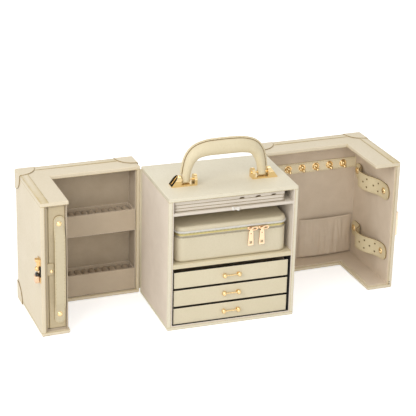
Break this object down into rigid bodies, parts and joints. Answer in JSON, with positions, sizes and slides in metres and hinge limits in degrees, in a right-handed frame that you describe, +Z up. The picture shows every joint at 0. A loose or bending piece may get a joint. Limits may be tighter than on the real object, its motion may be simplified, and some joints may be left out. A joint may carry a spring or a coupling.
{
  "type": "jewellery box with drawers and folding wings",
  "caption": "Leather-covered jewellery trunk with a carrying handle, drawers, a zipped travel case and two hinged wings that close round it.",
  "frame": {"origin": "centre of the cabinet's underside, on the surface it stands on", "axes": "+X to the right seen from the front, +Y to the back, +Z up; the drawers open towards -Y"},
  "size_m": [0.5514, 0.182, 0.2653],
  "materials": {
    "shell_leather": "pebbled cream leather",
    "front_leather": "smooth cream leather",
    "suede": "taupe suede",
    "pale_suede": "pale suede",
    "card": "lined board",
    "gold": "polished gold plate",
    "foam": "suede over foam",
    "zip_cloth": "woven tape",
    "case_leather": "grained cream leather",
    "pocket_cloth": "gathered suede cloth"
  },
  "bodies": {
    "cabinet": {"top_board": "shell_leather", "bottom_board": "shell_leather", "side_boards": "shell_leather", "back_board": "shell_leather", "cabinet_lining": "suede", "divider_board": "front_leather", "slot_shelf": "front_leather", "side_pads": "pale_suede", "drawer_runners": "card", "handle_brackets": "gold", "handle_pins": "gold"},
    "handle": {"handle_grip": "shell_leather", "handle_bushes": "gold"},
    "drawer_1": {"drawer_tray_1": "card", "drawer_front_1": "front_leather", "drawer_pull_1": "gold"},
    "drawer_2": {"drawer_tray_2": "card", "drawer_front_2": "front_leather", "drawer_pull_2": "gold"},
    "drawer_3": {"drawer_tray_3": "card", "drawer_front_3": "front_leather", "drawer_pull_3": "gold"},
    "flat_tray": {"flat_tray": "front_leather", "tray_tab": "front_leather"},
    "necklace_board": {"necklace_board": "front_leather"},
    "travel_case": {"case_base": "case_leather", "zip_tape": "zip_cloth", "base_piping": "case_leather", "zip_sliders": "gold"},
    "case_lid": {"case_lid": "case_leather", "lid_piping": "case_leather"},
    "zip_pull_1": {"zip_pull_1": "gold"},
    "zip_pull_2": {"zip_pull_2": "gold"},
    "left_wing": {"left_wing_boards": "shell_leather", "left_wing_panels": "shell_leather", "left_wing_lining": "suede", "left_corner_patches": "shell_leather", "left_hinge_strip": "shell_leather", "insert_bay_wall": "suede", "ring_trays": "suede", "ring_rolls": "foam", "lock_plate": "gold"},
    "insert": {"insert_tray": "pale_suede", "insert_strap": "front_leather"},
    "snap_tab": {"snap_tab": "front_leather"},
    "lock_lever": {"lock_lever": "gold"},
    "right_wing": {"right_wing_boards": "shell_leather", "right_wing_panels": "shell_leather", "right_wing_lining": "suede", "right_corner_patches": "shell_leather", "right_hinge_strip": "shell_leather", "hook_band": "suede", "necklace_hooks": "gold", "gathered_pocket": "pocket_cloth", "catch_plate": "gold"},
    "upper_strap": {"upper_strap": "front_leather"},
    "lower_strap": {"lower_strap": "front_leather"}
  },
  "joints": [
    {"name": "left_wing_hinge", "type": "hinge", "parent": "cabinet", "child": "left_wing", "pos_m": [-0.096, 0.066, 0.1], "axis": [0, 0, -1], "range_deg": [-88.5, 81.5], "deforming": ["left_hinge_strip"]},
    {"name": "right_wing_hinge", "type": "hinge", "parent": "cabinet", "child": "right_wing", "pos_m": [0.096, 0.066, 0.1], "axis": [0, 0, 1], "range_deg": [-92.2, 77.8], "deforming": ["right_hinge_strip"]},
    {"name": "handle_fold", "type": "hinge", "parent": "cabinet", "child": "handle", "pos_m": [0, -0.019, 0.208], "axis": [1, 0, 0], "range_deg": [-84, 84]},
    {"name": "drawer_1_slide", "type": "slide", "parent": "cabinet", "child": "drawer_1", "axis": [0, -1, 0], "range_m": [0, 0.09]},
    {"name": "drawer_2_slide", "type": "slide", "parent": "cabinet", "child": "drawer_2", "axis": [0, -1, 0], "range_m": [0, 0.09]},
    {"name": "drawer_3_slide", "type": "slide", "parent": "cabinet", "child": "drawer_3", "axis": [0, -1, 0], "range_m": [0, 0.09]},
    {"name": "flat_tray_slide", "type": "slide", "parent": "cabinet", "child": "flat_tray", "axis": [0, -1, 0], "range_m": [0, 0.09]},
    {"name": "necklace_board_slide", "type": "slide", "parent": "cabinet", "child": "necklace_board", "axis": [0, -1, 0], "range_m": [0, 0.09]},
    {"name": "travel_case_slide", "type": "slide", "parent": "cabinet", "child": "travel_case", "axis": [0, -1, 0], "range_m": [0, 0.1]},
    {"name": "case_lid_hinge", "type": "hinge", "parent": "travel_case", "child": "case_lid", "pos_m": [0, 0.0505, 0.1445], "axis": [-1, 0, 0], "range_deg": [0, 8]},
    {"name": "zip_pull_1_swing", "type": "hinge", "parent": "travel_case", "child": "zip_pull_1", "pos_m": [0.0265, -0.06406, 0.1419], "axis": [-1, 0, 0], "range_deg": [0, 165]},
    {"name": "zip_pull_2_swing", "type": "hinge", "parent": "travel_case", "child": "zip_pull_2", "pos_m": [0.043, -0.06406, 0.1419], "axis": [-1, 0, 0], "range_deg": [0, 165]},
    {"name": "insert_slide", "type": "slide", "parent": "left_wing", "child": "insert", "axis": [0.0262, -0.9997, 0], "range_m": [0, 0.11]},
    {"name": "snap_tab_swing", "type": "hinge", "parent": "insert", "child": "snap_tab", "pos_m": [-0.24807, -0.02901, 0.1033], "axis": [0, 0, 1], "range_deg": [0, 90]},
    {"name": "lock_lever_lift", "type": "hinge", "parent": "left_wing", "child": "lock_lever", "pos_m": [-0.27113, -0.02081, 0.0938], "axis": [-0.0262, 0.9997, 0], "range_deg": [0, 120]},
    {"name": "upper_strap_swing", "type": "hinge", "parent": "right_wing", "child": "upper_strap", "pos_m": [0.26056, 0.10134, 0.146], "axis": [0, 0, -1], "range_deg": [0, 50]},
    {"name": "lower_strap_swing", "type": "hinge", "parent": "right_wing", "child": "lower_strap", "pos_m": [0.26056, 0.10134, 0.051], "axis": [0, 0, -1], "range_deg": [0, 50]}
  ]
}
